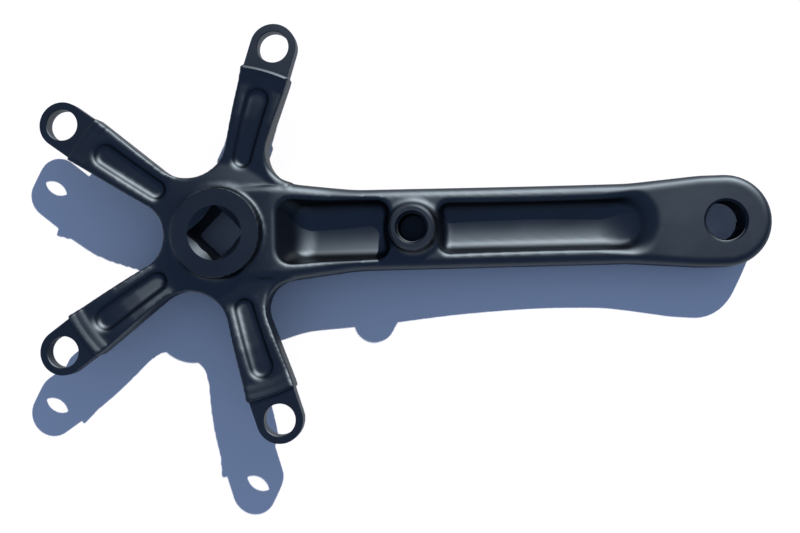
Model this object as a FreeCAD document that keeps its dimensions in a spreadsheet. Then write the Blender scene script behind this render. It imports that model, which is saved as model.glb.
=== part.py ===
import FreeCAD, Part
import math
import os
import re

import Sketcher
from FreeCAD import Placement, Rotation, Vector

# Bicycle crank arm, drive side: one forging with a five-bolt spider.
# The spindle axis is Z, with the outer face of the hub at z = 0 and the
# frame side at +Z. The arm runs along +X to the pedal eye. Millimetres.

SIZES = {
    # The arm as a whole
    "crank_length": (170.0, "spindle axis to pedal axis"),
    "bolt_circle": (130.0, "circle through the five chainring bolts"),
    "bolt_count": (5, "one bolt is in the arm, the others on the spider"),
    # Hub
    "hub_length": (23.0, "outer face to the ring on the back"),
    "hub_ring_radius": (14.6, "flat ring round the socket"),
    "hub_ring_rise": (3.7, "ring above the hollow round it"),
    "hub_ring_draft": (0.7, "ring wider by this at its foot"),
    "hub_ring_chamfer": (0.6, "chamfer round the ring"),
    "hub_shoulder_radius": (19.3, "outer edge of the shoulder round the ring"),
    "hub_shoulder_rise": (1.4, "that edge above the spider"),
    "hub_foot_radius": (21.5, "where the hub meets the spider"),
    "hub_face_radius": (14.8, "outer face"),
    "hub_face_chamfer": (1.2, "edge of the outer face"),
    "hub_waist_radius": (17.0, "hub where it meets the spider's front"),
    # Spider
    "spider_front": (13.9, "front of the spider's arms at the seat"),
    "front_foot": (6.5, "front of the spider's arms at the hub"),
    "front_bend": (46.0, "radius where the front runs level"),
    "front_round": (40.0, "bend of the front"),
    "spider_root": (17.6, "back of the spider's arms at the hub"),
    "arm_bend": (37.0, "radius where the back rises less steeply"),
    "arm_bend_back": (20.0, "back of the arms there"),
    "ramp_foot": (20.6, "back of the arms at the foot of the ramp"),
    "ramp_start": (48.5, "radius where the back ramps up"),
    "ramp_end": (52.5, "radius where the lip starts"),
    "ramp_round": (5.0, "rounding of the ramp"),
    "seat_radius": (57.0, "chainring seat turned down to the tabs"),
    "seat_step": (1.5, "arm face above the tab, on both sides"),
    "tab_back": (20.15, "chainring seat on the back"),
    "tab_thickness": (4.7, "tab between its two seats"),
    "tab_radius": (7.8, "round end and half width of a tab"),
    "tab_hole": (5.25, "hole for a sleeve nut"),
    "arm_tip_half": (8.45, "half width of an arm at the seat"),
    "arm_root_half": (4.5, "half width of an arm, run back to the axis"),
    "web_round": (14.0, "web between two arms"),
    "rear_web_round": (12.0, "web between the two arms at the rear"),
    "upper_root_round": (7.5, "web between the first arm and the crank"),
    "lower_root_round": (9.0, "web between the last arm and the crank"),
    "spider_stub_end": (25.0, "x where the spider ends on the crank's rails"),
    "spider_stub_step": (0.2, "the spider above the rails there"),
    # Pockets of the spider's arms
    "slot_start": (27.0, "centre of the slot's inner end"),
    "slot_end": (46.8, "centre of the slot's outer end"),
    "slot_root_half": (3.2, "half width at the inner end"),
    "slot_tip_half": (3.9, "half width at the outer end"),
    "slot_depth": (2.4, "below the arm's back at its bend"),
    "slot_draft": (30.0, "degrees, slope of the slot's walls"),
    # Crank seen from the side
    "crank_root_top": (18.8, "top of the rails at the hub"),
    "crank_fall_start": (19.0, "where the top starts to fall"),
    "crank_shoulder": (36.0, "x of the shoulder past the hub"),
    "crank_shoulder_top": (14.7, "top of the rails at the shoulder"),
    "crank_bend": (50.0, "x where the top starts down to the pedal"),
    "crank_bend_top": (14.4, "top of the rails at the bend"),
    "crank_end_start": (116.0, "x where the top runs level again"),
    "eye_back": (5.15, "back face of the pedal eye"),
    "eye_thickness": (14.0, "pedal eye, back to outer face"),
    "outer_fall_start": (24.0, "x where the outer face starts to fall"),
    "outer_fall_end": (140.0, "x where the outer face runs level again"),
    "shoulder_round": (12.0, "hollow and shoulder past the hub"),
    "back_bend_round": (100.0, "where the top starts down"),
    "back_end_round": (430.0, "where the top runs level again"),
    "outer_bend_round": (300.0, "bends of the outer face"),
    # Crank seen from the back
    "crank_root_half": (16.6, "half width beside the hub"),
    "crank_root_end": (22.0, "x where the root starts to narrow"),
    "crank_root_round": (30.0, "bend of the sides there"),
    "crank_waist_start": (46.0, "x where the waist starts"),
    "crank_waist_half": (13.8, "half width of the waist"),
    "crank_waist_end": (138.0, "x where the arm starts to widen"),
    "crank_side_round": (60.0, "bends of the sides"),
    "eye_radius": (15.7, "round end of the crank"),
    "crank_edge_round": (3.2, "rounding of the crank's long edges"),
    # Channels in the back of the crank
    "inner_start": (17.8, "near end of the channel by the hub, top of its slope"),
    "inner_slope_top": (19.8, "level where the slope starts"),
    "inner_slope_end": (26.8, "foot of that slope"),
    "inner_end": (57.5, "far end, at the bolt boss"),
    "inner_half": (10.3, "half width of its mouth"),
    "inner_mouth": (14.5, "level of its mouth"),
    "inner_floor": (6.5, "level of its floor"),
    "outer_start": (73.2, "near end, at the bolt boss"),
    "outer_end": (147.0, "round far end"),
    "outer_half": (9.0, "half width of its mouth"),
    "outer_depth": (6.8, "floor below the mouth"),
    "outer_near_floor": (4.2, "level of the floor at the near end"),
    "outer_far_floor": (-2.4, "level of the floor at the far end"),
    "channel_corner": (3.5, "corners of the channels in plan"),
    "channel_draft": (13.0, "degrees, slope of the channel walls"),
    "channel_foot_round": (4.5, "hollow along the foot of the walls"),
    # Bolt boss between the channels
    "boss_top": (21.3, "frame-side face of the boss"),
    "boss_radius": (7.5, "boss at its face"),
    "boss_draft": (5.0, "degrees, slope of its side"),
    "boss_chamfer": (0.7, "edge of its face"),
    "boss_bore": (4.5, "threaded bore, at its crests"),
    "boss_bore_depth": (14.0, "blind bore below the face"),
    "boss_mouth_depth": (1.6, "plain mouth, as wide as a tab hole"),
    "boss_foot": (4.0, "foot of the boss inside the crank"),
    # Bores of the hub and the pedal eye
    "puller_bore": (10.5, "puller thread, at its crests"),
    "puller_depth": (8.5, "puller thread, to the bolt's seat"),
    "square_flats": (12.7, "across the flats at the narrow end"),
    "square_draft": (2.0, "degrees, slope of each flat"),
    "square_corner": (1.3, "corners of the square"),
    "square_mouth": (9.1, "countersink of the square's mouth"),
    "square_mouth_depth": (2.0, "depth of that countersink"),
    "pedal_bore": (6.55, "pedal thread, at its crests"),
    "pedal_chamfer": (0.85, "mouths of the pedal thread"),
}
SHEET = "Sizes"


def make_sheet(doc):
    """The driving dimensions, one row each: name, value, what it is."""
    sheet = doc.addObject("Spreadsheet::Sheet", SHEET)
    for row, (name, (value, note)) in enumerate(SIZES.items(), start=1):
        sheet.set(f"A{row}", name)
        sheet.set(f"B{row}", str(value))
        sheet.set(f"C{row}", note)
        sheet.setAlias(f"B{row}", name)
    doc.recompute()
    return sheet


def bound(expression):
    """An expression with each size name pointed at the sheet."""
    return re.sub(
        r"[a-z][a-z_]*",
        lambda word: f"{SHEET}.{word[0]}" if word[0] in SIZES else word[0],
        expression,
    )


def set_sizes(feature, **expressions):
    """Bind properties of a feature to the sheet."""
    for name, expression in expressions.items():
        feature.setExpression(name, bound(expression))


class Corner:
    """A corner of an outline, sharp or rounded."""

    def __init__(self, x, y, radius=None):
        self.x, self.y, self.radius = x, y, radius


class End:
    """A round end of an outline: an arc about a centre, tangent to both sides."""

    def __init__(self, x, y, radius):
        self.x, self.y, self.radius = x, y, radius


class Outline:
    """A closed, fully constrained outline of straight sides and tangent arcs.

    The elements run counter-clockwise. Each coordinate and radius is an
    expression on the sheet, so the outline follows any size.
    """

    def __init__(self, sketch, elements):
        self.sketch = sketch
        self.elements = elements
        self.points = [self.vector(e.x, e.y) for e in elements]
        self.draw()

    def value(self, expression):
        return float(self.sketch.evalExpression(bound(expression)))

    def vector(self, x, y):
        return Vector(self.value(x), self.value(y), 0)

    def tangent(self, index, point, side):
        """Where the line from a point touches the round end; side is 1 or -1."""
        to_centre = self.points[index] - point
        radius = self.value(self.elements[index].radius)
        reach = to_centre.Length
        angle = math.atan2(to_centre.y, to_centre.x)
        angle -= side * math.asin(radius / reach)
        length = math.sqrt(reach**2 - radius**2)
        return point + Vector(math.cos(angle), math.sin(angle), 0) * length

    def side_ends(self, index):
        """Both ends of the side that leaves an element, before rounding."""
        after = (index + 1) % len(self.elements)
        start, end = self.points[index], self.points[after]
        if isinstance(self.elements[after], End):
            return start, self.tangent(after, start, 1)
        if isinstance(self.elements[index], End):
            return self.tangent(index, end, -1), end
        return start, end

    def draw(self):
        count = len(self.elements)
        sides = [self.side_ends(i) for i in range(count)]
        arcs = [self.arc(i, sides[i - 1], sides[i]) for i in range(count)]
        lines = []
        for i, (start, end) in enumerate(sides):
            if arcs[i]:
                start = arcs[i][2]
            if arcs[(i + 1) % count]:
                end = arcs[(i + 1) % count][1]
            lines.append(self.sketch.addGeometry(Part.LineSegment(start, end)))
        for i, element in enumerate(self.elements):
            self.join(element, self.points[i], lines[i - 1], lines[i], arcs[i])

    def arc(self, index, before, after):
        """Centre, first and last point of the arc at an element, or nothing."""
        element, point = self.elements[index], self.points[index]
        if isinstance(element, End):
            return point, before[1], after[0]
        if element.radius is None:
            return None
        back = (before[0] - point).normalize()
        on = (after[1] - point).normalize()
        radius = self.value(element.radius)
        half = back.getAngle(on) / 2
        reach = radius / math.tan(half)
        centre = point + (back + on).normalize() * (radius / math.sin(half))
        return centre, point + back * reach, point + on * reach

    def join(self, element, point, before, after, arc):
        """Tie the sides before and after an element together and place them."""
        add, sketch = self.sketch.addConstraint, self.sketch
        if arc is None:
            add(Sketcher.Constraint("Coincident", before, 2, after, 1))
            self.place(after, 1, element)
            return
        centre, first, last = arc
        leftward = (first - centre).cross(last - centre).z > 0 or isinstance(element, End)
        angles = [math.atan2(p.y - centre.y, p.x - centre.x) for p in (first, last)]
        if not leftward:
            angles.reverse()
        circle = Part.Circle(centre, Vector(0, 0, 1), (first - centre).Length)
        curve = sketch.addGeometry(Part.ArcOfCircle(circle, *angles))
        start, end = (1, 2) if leftward else (2, 1)
        add(Sketcher.Constraint("Tangent", before, 2, curve, start))
        add(Sketcher.Constraint("Tangent", after, 1, curve, end))
        radius = add(Sketcher.Constraint("Radius", curve, circle.Radius))
        sketch.setExpression(f"Constraints[{radius}]", bound(element.radius))
        if isinstance(element, End):
            self.place(curve, 3, element)
            return
        vertex = sketch.addGeometry(Part.Point(point), True)
        add(Sketcher.Constraint("PointOnObject", vertex, 1, before))
        add(Sketcher.Constraint("PointOnObject", vertex, 1, after))
        self.place(vertex, 1, element)

    def place(self, geometry, end, element):
        """Hold a point at its coordinates, measured from the sketch's origin."""
        for kind, text in (("DistanceX", element.x), ("DistanceY", element.y)):
            rule = Sketcher.Constraint(kind, -1, 1, geometry, end, self.value(text))
            index = self.sketch.addConstraint(rule)
            self.sketch.setExpression(f"Constraints[{index}]", bound(text))


def new_sketch(body, name, plane):
    """An empty sketch on one of the body's own origin planes."""
    sketch = body.newObject("Sketcher::SketchObject", name)
    support = [f for f in body.Origin.OriginFeatures if f.Role == plane]
    sketch.AttachmentSupport = [(support[0], "")]
    sketch.MapMode = "FlatFace"
    return sketch


def new_body(doc, label):
    body = doc.addObject("PartDesign::Body", label)
    body.Label = label
    return body


def revolve(body, name, elements, axis_x=None):
    """A revolved blank from a profile of (radius, z), about Z or a parallel axis."""
    sketch = new_sketch(body, f"{name}_profile", "XZ_Plane")
    if axis_x:
        set_sizes(sketch, **{"AttachmentOffset.Base.x": axis_x})
    body.Document.recompute()
    Outline(sketch, elements)
    turned = body.newObject("PartDesign::Revolution", name)
    turned.Profile = sketch
    turned.ReferenceAxis = (sketch, ["V_Axis"])
    turned.Angle = 360
    return turned


def keep_inside(body, name, elements, reach):
    """Cut away everything outside an outline seen along Z."""
    sketch = new_sketch(body, f"{name}_outline", "XY_Plane")
    Outline(sketch, elements)
    frame = [Corner(f"{sx}*({reach})", f"{sy}*({reach})")
             for sx, sy in ((-1, -1), (1, -1), (1, 1), (-1, 1))]
    Outline(sketch, frame)
    trim = body.newObject("PartDesign::Pocket", name)
    trim.Profile = sketch
    trim.Type = "Length"
    trim.SideType = "Symmetric"
    set_sizes(trim, Length=f"2 * ({reach})")
    return trim


def round_edges(body, name, radius, wanted):
    """Round the edges of the body's tip for which wanted(edge) holds."""
    body.Document.recompute()
    base = body.Tip
    names = [f"Edge{i}" for i, edge in enumerate(base.Shape.Edges, start=1) if wanted(edge)]
    rounding = body.newObject("PartDesign::Fillet", name)
    rounding.Base = (base, names)
    set_sizes(rounding, Radius=radius)
    return rounding


def turned_to(arm, along, across):
    """Corner coordinates for a point of one spider arm, counted from the crank."""
    angle = f"{arm} * 360 deg / bolt_count"
    return (f"({along}) * cos({angle}) - ({across}) * sin({angle})",
            f"({along}) * sin({angle}) + ({across}) * cos({angle})")


ARM_FLARE = "((arm_tip_half - arm_root_half) / seat_radius)"
STEP_ALONG = "sqrt(seat_radius ^ 2 - arm_tip_half ^ 2)"
HALF_PITCH = "(180 deg / bolt_count)"
TAB_FRONT = "tab_back - tab_thickness"
EYE_OUTER = "eye_back - eye_thickness"
SHOULDER = "spider_root + hub_shoulder_rise"


def arm_outline(arm):
    """One spider arm with its tab, from its right side round to its left."""
    right, left = "-1 * arm_tip_half", "arm_tip_half"
    return [
        Corner(*turned_to(arm, STEP_ALONG, right)),
        Corner(*turned_to(arm, STEP_ALONG, "-1 * tab_radius")),
        End(*turned_to(arm, "bolt_circle / 2", "0"), "tab_radius"),
        Corner(*turned_to(arm, STEP_ALONG, "tab_radius")),
        Corner(*turned_to(arm, STEP_ALONG, left)),
    ]


def web_corner(arm, radius):
    """Where an arm's left side meets the next arm's right side."""
    reach = (f"arm_root_half / (sin({HALF_PITCH}) - {ARM_FLARE} * cos({HALF_PITCH}))")
    angle = f"({arm} * 360 deg / bolt_count + {HALF_PITCH})"
    return Corner(f"{reach} * cos({angle})", f"{reach} * sin({angle})", radius)


def root_corner(side, radius):
    """Where the side of the first or last arm meets the side of the crank."""
    pitch = "(360 deg / bolt_count)"
    along = (f"((crank_root_half + arm_root_half * cos({pitch}))"
             f" / (sin({pitch}) - {ARM_FLARE} * cos({pitch})))")
    x = (f"{along} * (cos({pitch}) + {ARM_FLARE} * sin({pitch}))"
         f" + arm_root_half * sin({pitch})")
    return Corner(x, f"{side} * crank_root_half", radius)


def make_spider(doc):
    """A turned, dished plate cut to the outline of the arms, with their pockets."""
    body = new_body(doc, "spider")
    rim = "bolt_circle / 2 + 2 * tab_radius"
    lip = "tab_back + seat_step"
    revolve(body, "plate", [
        Corner("0", "front_foot"),
        Corner("hub_waist_radius", "front_foot"),
        Corner("front_bend", "spider_front", "front_round"),
        Corner("seat_radius", "spider_front"),
        Corner("seat_radius", TAB_FRONT),
        Corner(rim, TAB_FRONT),
        Corner(rim, "tab_back"),
        Corner("seat_radius", "tab_back"),
        Corner("seat_radius", lip),
        Corner("ramp_end", lip, "ramp_round"),
        Corner("ramp_start", "ramp_foot", "ramp_round"),
        Corner("arm_bend", "arm_bend_back"),
        Corner("hub_foot_radius", "spider_root"),
        Corner("0", "spider_root"),
    ])
    keep_inside(body, "star", star_outline(), rim + " + tab_radius")
    round_arms(body, [make_slot(body)])
    return body


def make_slot(body):
    """The draughted pocket in the back of the first arm, sloped like the arm."""
    slope = "((ramp_foot - spider_root) / (ramp_start - hub_foot_radius))"
    sketch = new_sketch(body, "slot_mouth", "XY_Plane")
    across = Vector(*(sketch.evalExpression(bound(text)) for text in turned_to(1, "0", "1")), 0)
    sketch.AttachmentOffset = Placement(Vector(), Rotation(across, 0))
    set_sizes(sketch, **{"AttachmentOffset.Base.z": f"arm_bend_back - arm_bend * {slope}",
                         "AttachmentOffset.Rotation.Angle": f"-1 * atan({slope})"})
    body.Document.recompute()
    Outline(sketch, [
        End(*turned_to(1, "slot_start", "0"), "slot_root_half"),
        End(*turned_to(1, "slot_end", "0"), "slot_tip_half"),
    ])
    slot = body.newObject("PartDesign::Pocket", "slot")
    slot.Profile = sketch
    slot.Type = "Length"
    set_sizes(slot, Length="slot_depth", TaperAngle="-1 * slot_draft")
    return slot


def star_outline():
    """The spider seen from the back: arms, tabs and the webs between them."""
    arms = int(SIZES["bolt_count"][0]) - 1
    outline = [Corner("spider_stub_end", "-1 * crank_root_half"),
               Corner("spider_stub_end", "crank_root_half"),
               root_corner("1", "upper_root_round")]
    for arm in range(1, arms + 1):
        outline += arm_outline(arm)
        if arm < arms:
            rear = 2 * arm == arms
            outline.append(web_corner(arm, "rear_web_round" if rear else "web_round"))
    outline.append(root_corner("-1", "lower_root_round"))
    return outline


def round_arms(body, features):
    """Repeat the first arm's features on the others."""
    pattern = body.newObject("PartDesign::PolarPattern", "arms")
    pattern.Originals = features
    pattern.Axis = next((axis, [""]) for axis in body.Origin.OriginFeatures
                        if axis.Role == "Z_Axis")
    arms = int(SIZES["bolt_count"][0]) - 1
    set_sizes(pattern, Angle="(bolt_count - 2) * 360 / bolt_count")
    pattern.Occurrences = arms
    body.Tip = pattern
    return pattern


def make_crank(doc):
    """The crank without its hub: a bent bar, waisted between hub and pedal eye."""
    body = new_body(doc, "crank")
    side = new_sketch(body, "side_view", "XZ_Plane")
    past = "crank_length + 2 * eye_radius"
    Outline(side, [
        Corner("0", "0"),
        Corner("outer_fall_start", "0", "outer_bend_round"),
        Corner("outer_fall_end", EYE_OUTER, "outer_bend_round"),
        Corner(past, EYE_OUTER),
        Corner(past, "eye_back"),
        Corner("crank_end_start", "eye_back", "back_end_round"),
        Corner("crank_bend", "crank_bend_top", "back_bend_round"),
        Corner("crank_shoulder", "crank_shoulder_top", "shoulder_round"),
        Corner("crank_fall_start", "crank_root_top", "shoulder_round"),
        Corner("0", "crank_root_top"),
    ])
    bar = body.newObject("PartDesign::Pad", "bar")
    bar.Profile = side
    bar.SideType = "Symmetric"
    set_sizes(bar, Length="4 * crank_root_half")
    keep_inside(body, "waist", [
        Corner("0", "-1 * crank_root_half"),
        Corner("crank_root_end", "-1 * crank_root_half", "crank_root_round"),
        Corner("crank_waist_start", "-1 * crank_waist_half", "crank_side_round"),
        Corner("crank_waist_end", "-1 * crank_waist_half", "crank_side_round"),
        End("crank_length", "0", "eye_radius"),
        Corner("crank_waist_end", "crank_waist_half", "crank_side_round"),
        Corner("crank_waist_start", "crank_waist_half", "crank_side_round"),
        Corner("crank_root_end", "crank_root_half", "crank_root_round"),
        Corner("0", "crank_root_half"),
    ], past)
    round_edges(body, "crank_edges", "crank_edge_round", is_long_edge)
    return body


def is_long_edge(edge):
    """An edge that runs along the top or bottom of the crank, not up its side."""
    box = edge.BoundBox
    return math.hypot(box.XLength, box.YLength) > box.ZLength and box.XMax > 1


def make_channel(doc, name, depth, above, elements, **place):
    """What a channel takes out of the crank: a draughted block on its mouth's plane."""
    body = new_body(doc, name)
    sketch = new_sketch(body, f"{name}_mouth", "XY_Plane")
    sketch.AttachmentOffset = Placement(Vector(), Rotation(Vector(0, 1, 0), 0))
    set_sizes(sketch, **{f"AttachmentOffset.{path.replace('_', '.')}": text
                         for path, text in place.items()})
    Outline(sketch, elements)
    block = body.newObject("PartDesign::Pad", f"{name}_block")
    block.Profile = sketch
    block.SideType = "Two sides"
    set_sizes(block, Length=above, Length2=depth, TaperAngle2="-1 * channel_draft")
    return body


def round_foot(body):
    """Round a channel block along its floor."""
    body.Document.recompute()
    floor = min(body.Tip.Shape.Faces, key=lambda face: face.CenterOfMass.z)
    round_edges(body, f"{body.Label}_foot", "channel_foot_round",
                lambda edge: any(edge.isSame(foot) for foot in floor.Edges))


def make_inner_channel(doc):
    """The channel between the hub and the bolt boss, with a slope at the hub."""
    body = make_channel(doc, "inner_channel", "inner_mouth - inner_floor", "hub_length", [
        Corner("inner_start", "-1 * inner_half", "channel_corner"),
        Corner("inner_end", "-1 * inner_half", "channel_corner"),
        Corner("inner_end", "inner_half", "channel_corner"),
        Corner("inner_start", "inner_half", "channel_corner"),
    ], Base_z="inner_mouth")
    side = new_sketch(body, "slope_side", "XZ_Plane")
    Outline(side, [
        Corner("0", "inner_floor"),
        Corner("inner_slope_end", "inner_floor"),
        Corner("inner_start", "inner_slope_top"),
        Corner("0", "inner_slope_top"),
    ])
    slope = body.newObject("PartDesign::Pocket", "slope")
    slope.Profile = side
    slope.Type = "Length"
    slope.SideType = "Symmetric"
    set_sizes(slope, Length="4 * inner_half")
    round_foot(body)
    return body


def make_outer_channel(doc):
    """The channel from the bolt boss towards the pedal, sloped like the rails."""
    slope = "atan((outer_near_floor - outer_far_floor) / (outer_end - outer_start))"
    reach = f"((outer_end - outer_start) / cos({slope}))"
    body = make_channel(doc, "outer_channel", "outer_depth", "outer_depth", [
        Corner("0", "-1 * outer_half", "channel_corner"),
        End(f"{reach} - outer_half", "0", "outer_half"),
        Corner("0", "outer_half", "channel_corner"),
    ], Base_x="outer_start", Base_z="outer_near_floor + outer_depth", Rotation_Angle=slope)
    round_foot(body)
    return body


def make_hub(doc):
    """The hub's turned blank, wider at the spider, with its ring on the back."""
    body = new_body(doc, "hub")
    ring_foot = "hub_length - hub_ring_rise"
    revolve(body, "hub_blank", [
        Corner("0", "0"),
        Corner("hub_face_radius - hub_face_chamfer", "0"),
        Corner("hub_face_radius", "hub_face_chamfer"),
        Corner("hub_waist_radius", "front_foot"),
        Corner("hub_waist_radius", "spider_root"),
        Corner("hub_foot_radius", "spider_root"),
        Corner("hub_shoulder_radius", SHOULDER),
        Corner("hub_ring_radius + hub_ring_draft", ring_foot),
        Corner("hub_ring_radius", "hub_length - hub_ring_chamfer"),
        Corner("hub_ring_radius - hub_ring_chamfer", "hub_length"),
        Corner("0", "hub_length"),
    ])
    return body


def make_root_slope(doc):
    """What comes off the hub's foot and the spider, so that they run down to the rails."""
    body = new_body(doc, "root_slope")
    side = new_sketch(body, "root_slope_side", "XZ_Plane")
    fall = "(crank_root_top - crank_shoulder_top) / (crank_shoulder - crank_fall_start)"
    rails = f"crank_root_top - (spider_stub_end - crank_fall_start) * {fall}"
    Outline(side, [
        Corner("hub_shoulder_radius", SHOULDER),
        Corner("spider_stub_end", f"{rails} + spider_stub_step"),
        Corner("crank_shoulder", SHOULDER),
    ])
    wedge = body.newObject("PartDesign::Pad", "root_slope_block")
    wedge.Profile = side
    wedge.SideType = "Symmetric"
    set_sizes(wedge, Length="2 * (crank_root_half + upper_root_round)")
    return body


def make_boss(doc):
    """The fifth bolt's boss, which stands on the bridge between the channels."""
    body = new_body(doc, "boss")
    foot_radius = "boss_radius + (boss_top - boss_foot) * tan(boss_draft * 1 deg)"
    revolve(body, "boss_blank", [
        Corner("0", "boss_foot"),
        Corner(foot_radius, "boss_foot"),
        Corner("boss_radius", "boss_top - boss_chamfer"),
        Corner("boss_radius - boss_chamfer", "boss_top"),
        Corner("0", "boss_top"),
    ], axis_x="bolt_circle / 2")
    return body


def bore(doc, name, radius, bottom, top, x="0", y="0"):
    """A drill: a cylinder between two levels."""
    tool = doc.addObject("Part::Cylinder", name)
    set_sizes(tool, Radius=radius, Height=f"{top} - ({bottom})")
    set_sizes(tool, **{"Placement.Base.x": x, "Placement.Base.y": y, "Placement.Base.z": bottom})
    return tool


def countersink(doc, name, radius, face, depth, x="0"):
    """A 45 degree countersink; a negative depth opens it upwards from the face."""
    tool = doc.addObject("Part::Cone", name)
    set_sizes(tool, Height=f"abs({depth})")
    wide, narrow = radius, f"{radius} - abs({depth})"
    down = not depth.startswith("-")
    set_sizes(tool, Radius1=narrow if down else wide, Radius2=wide if down else narrow)
    level = f"{face} - ({depth})" if down else face
    set_sizes(tool, **{"Placement.Base.x": x, "Placement.Base.z": level})
    return tool


def make_square(doc):
    """The square taper of the spindle's socket, a corner towards the pedal."""
    body = new_body(doc, "square_taper")
    sketch = new_sketch(body, "square_end", "XY_Plane")
    set_sizes(sketch, **{"AttachmentOffset.Base.z": "puller_depth"})
    reach = "square_flats / sqrt(2)"
    Outline(sketch, [
        Corner(reach, "0", "square_corner"),
        Corner("0", reach, "square_corner"),
        Corner(f"-1 * {reach}", "0", "square_corner"),
        Corner("0", f"-1 * {reach}", "square_corner"),
    ])
    taper = body.newObject("PartDesign::Pad", "square_pad")
    taper.Profile = sketch
    set_sizes(taper, Length="hub_length - puller_depth + hub_ring_rise", TaperAngle="square_draft")
    return body


def make_bores(doc):
    """Every hole that is drilled, tapped or broached after forging."""
    centre, eye = "bolt_circle / 2", "crank_length"
    tools = [
        bore(doc, "puller_bore_tool", "puller_bore", "-1 * hub_ring_rise", "puller_depth"),
        make_square(doc),
        countersink(doc, "square_mouth_tool", "square_mouth", "hub_length", "square_mouth_depth"),
        bore(doc, "boss_bore_tool", "boss_bore", "boss_top - boss_bore_depth", "boss_top", centre),
        bore(doc, "boss_mouth", "tab_hole", "boss_top - boss_mouth_depth", "boss_top", centre),
        bore(doc, "pedal_bore_tool", "pedal_bore", EYE_OUTER, "eye_back", eye),
        countersink(doc, "pedal_back_mouth", "pedal_bore + pedal_chamfer", "eye_back",
                    "pedal_chamfer", eye),
        countersink(doc, "pedal_outer_mouth", "pedal_bore + pedal_chamfer", EYE_OUTER,
                    "-1 * pedal_chamfer", eye),
    ]
    for arm in range(1, int(SIZES["bolt_count"][0])):
        x, y = turned_to(arm, centre, "0")
        tools.append(bore(doc, f"tab_bore_{arm}", "tab_hole", TAB_FRONT, "tab_back", x, y))
    return tools


def fuse(doc, name, shapes):
    joined = doc.addObject("Part::MultiFuse", name)
    joined.Shapes = shapes
    return joined


def cut(doc, name, base, tools):
    """Take a set of tools out of a base."""
    machined = doc.addObject("Part::Cut", name)
    machined.Base = base
    machined.Tool = fuse(doc, f"{name}_tools", tools)
    return machined


def make_crank_arm(doc):
    """The forging, then what is machined out of it."""
    bars = fuse(doc, "bars", [make_crank(doc), make_spider(doc), make_hub(doc)])
    channelled = cut(doc, "channelled", bars, [
        make_root_slope(doc), make_inner_channel(doc), make_outer_channel(doc)])
    forging = fuse(doc, "forging", [channelled, make_boss(doc)])
    crank_arm = cut(doc, "crank_arm", forging, make_bores(doc))
    crank_arm.Refine = True
    return crank_arm


def check(doc, node):
    """Stop on anything that failed to rebuild, and on a broken solid."""
    doc.recompute()
    for item in doc.Objects:
        if {"Invalid", "Error"} & set(item.State):
            raise RuntimeError(f"{item.Label} failed: {item.State}")
    shape = node.Shape
    if shape.isNull() or not shape.isValid() or len(shape.Solids) != 1:
        raise RuntimeError(f"{node.Label} is not one sound solid")
    print(f"{node.Label}: {shape.Volume / 1000:.1f} cm3, {len(shape.Faces)} faces")


def main():
    doc = FreeCAD.newDocument("crank_arm_document")
    make_sheet(doc)
    crank_arm = make_crank_arm(doc)
    check(doc, crank_arm)
    os.makedirs("parts", exist_ok=True)
    crank_arm.Shape.exportStep("parts/crank_arm.step")


main()
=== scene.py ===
"""The looks of a drive-side bicycle crank arm: a forged, machined and anodised bar with a spider.

The forging is one closed surface round a field of distances: bars, plates and pockets that
are joined and cut with rounded edges, as a forging die leaves them. What a lathe, a drill or
a broach would make comes after it, as sharp cuts. Sizes are in millimetres in the row's
frame: the spindle is Z with the frame side up, and the arm runs along +X.
"""

import logging
import math
from dataclasses import dataclass, field
from enum import Enum

import bmesh
import bpy
import numpy as np
from mathutils import Matrix, Vector


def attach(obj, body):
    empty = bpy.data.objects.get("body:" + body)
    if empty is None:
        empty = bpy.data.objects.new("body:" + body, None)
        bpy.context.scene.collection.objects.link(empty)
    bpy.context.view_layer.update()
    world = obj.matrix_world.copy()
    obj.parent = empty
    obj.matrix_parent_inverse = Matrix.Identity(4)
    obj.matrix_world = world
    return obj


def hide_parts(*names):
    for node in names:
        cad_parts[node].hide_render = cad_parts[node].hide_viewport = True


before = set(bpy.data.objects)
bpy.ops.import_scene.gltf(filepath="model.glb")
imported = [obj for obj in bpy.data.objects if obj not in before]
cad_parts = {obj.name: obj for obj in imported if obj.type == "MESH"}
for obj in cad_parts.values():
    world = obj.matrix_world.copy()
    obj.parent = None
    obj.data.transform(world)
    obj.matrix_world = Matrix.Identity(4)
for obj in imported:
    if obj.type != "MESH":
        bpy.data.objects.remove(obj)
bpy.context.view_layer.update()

LOG = logging.getLogger("crank_arm")
MM = 0.001
PICTURE = (800, 533)

Piece = bpy.types.Object
Pair = tuple[float, float]
Triple = tuple[float, float, float]
Colour = tuple[float, float, float, float]
Table = list[Pair]

# Sizes that the forging and its machining share, in millimetres
LENGTH = 170.0
BOLT_CIRCLE = 130.0
SEAT_RADIUS = 57.0
ARMS, PLACES = 4, 5  # the crank takes the last place
TURN = 2 * math.pi / PLACES
BOSS_AT, BOSS_RADIUS, BOSS_TOP = 65.0, 7.5, 21.3


class Finish(Enum):
    """The finishes of the crank arm, in the order of its material slots."""

    FORGED = "forged_black"
    TURNED = "turned_black"
    BROACHED = "broached_black"


def join(first: np.ndarray, second: np.ndarray, radius: float | np.ndarray) -> np.ndarray:
    """Unite two fields of distances with a hollow of the given radius between them."""
    near = np.maximum(radius - first, 0)
    far = np.maximum(radius - second, 0)
    return np.maximum(radius, np.minimum(first, second)) - np.sqrt(near * near + far * far)


def keep(first: np.ndarray, second: np.ndarray, radius: float | np.ndarray) -> np.ndarray:
    """Keep what lies in both fields, with an edge rounded to the given radius."""
    near = np.maximum(radius + first, 0)
    far = np.maximum(radius + second, 0)
    return np.minimum(-radius, np.maximum(first, second)) + np.sqrt(near * near + far * far)


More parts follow.
